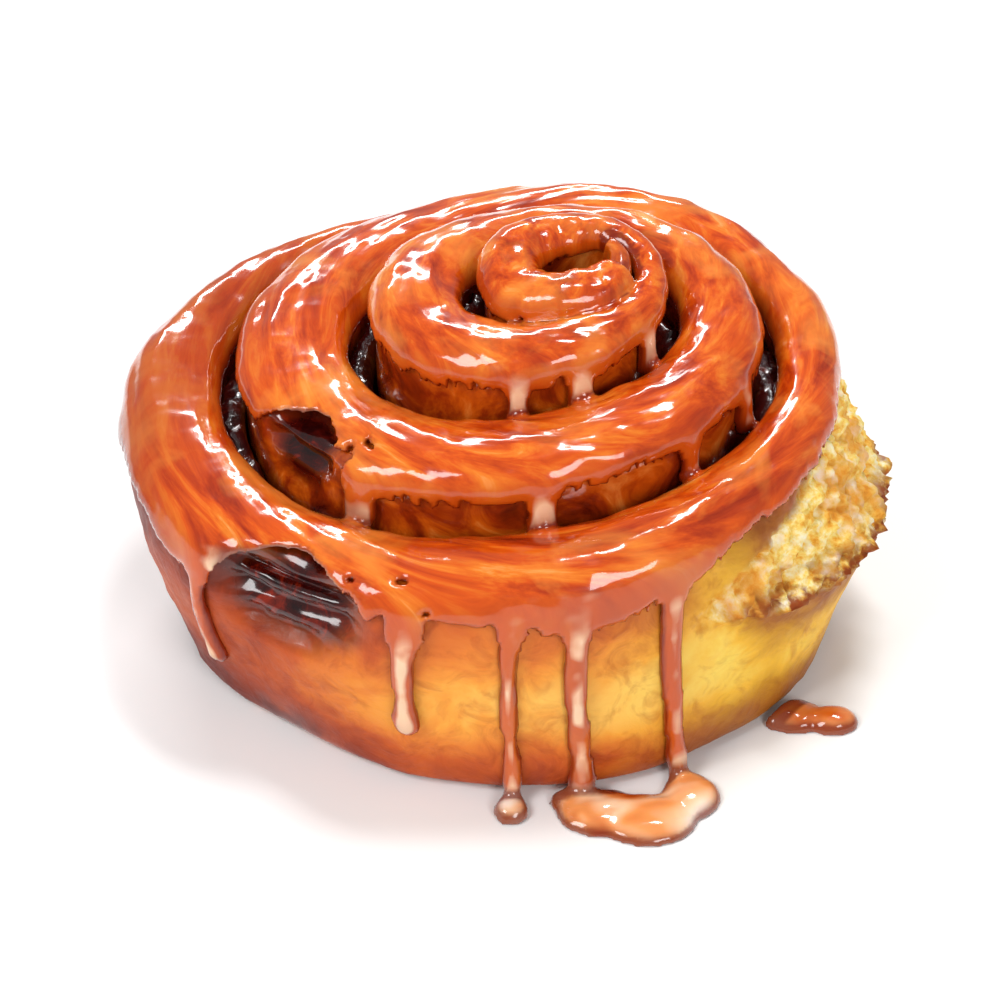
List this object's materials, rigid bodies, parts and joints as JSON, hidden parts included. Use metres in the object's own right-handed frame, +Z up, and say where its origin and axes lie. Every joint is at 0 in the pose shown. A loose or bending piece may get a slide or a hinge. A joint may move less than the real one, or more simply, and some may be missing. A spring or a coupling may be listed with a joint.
{
  "type": "cinnamon roll",
  "caption": "Glazed cinnamon roll: a coiled strip of baked dough with a dark filling between its turns, a torn side, caramel glaze running down its walls, and glaze pools at its foot.",
  "frame": {"origin": "middle of the whole roll's footprint, pools included, at the level that it rests on", "axes": "+Z up, -Y towards the roll's front with the long glaze runs, +X towards its torn side"},
  "size_m": [0.126, 0.113, 0.0666],
  "materials": {
    "dough": "baked crust, satin, darker at the top left and golden at the right",
    "filling": "wet cinnamon syrup",
    "glaze": "glossy clear caramel"
  },
  "bodies": {
    "root": {"dough_coil": "dough", "filling_ribbon": "filling", "glaze": "glaze", "side_pool": "glaze"}
  },
  "joints": []
}
